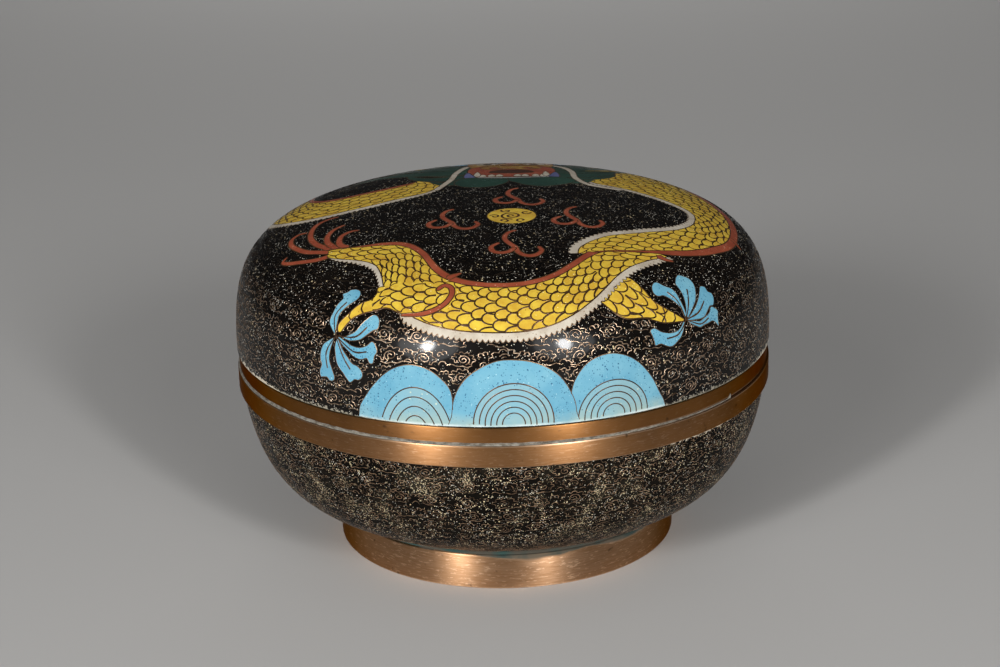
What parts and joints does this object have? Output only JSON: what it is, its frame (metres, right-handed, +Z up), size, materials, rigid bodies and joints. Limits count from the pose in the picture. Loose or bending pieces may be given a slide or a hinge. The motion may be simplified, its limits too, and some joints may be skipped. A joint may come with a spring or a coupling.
{
  "type": "cloisonne enamel box",
  "caption": "Round covered box of enamelled copper on a ring foot, with a domed lift-off lid, copper rim bands and an inlaid dragon picture.",
  "frame": {"origin": "on the table, under the centre of the ring foot", "axes": "+Z up along the box's own axis; the front of the lid's picture faces -Y"},
  "size_m": [0.2, 0.2, 0.129],
  "materials": {
    "copper": "brown copper, finely scratched and worn bright along its edges",
    "enamel": "glossy fired enamel between fine metal wires, polished flush, with small pits"
  },
  "bodies": {
    "root": {"foot_ring": "copper", "bowl": "enamel", "bowl_rim": "copper", "lid_rim": "copper", "lid": "enamel"}
  },
  "joints": []
}
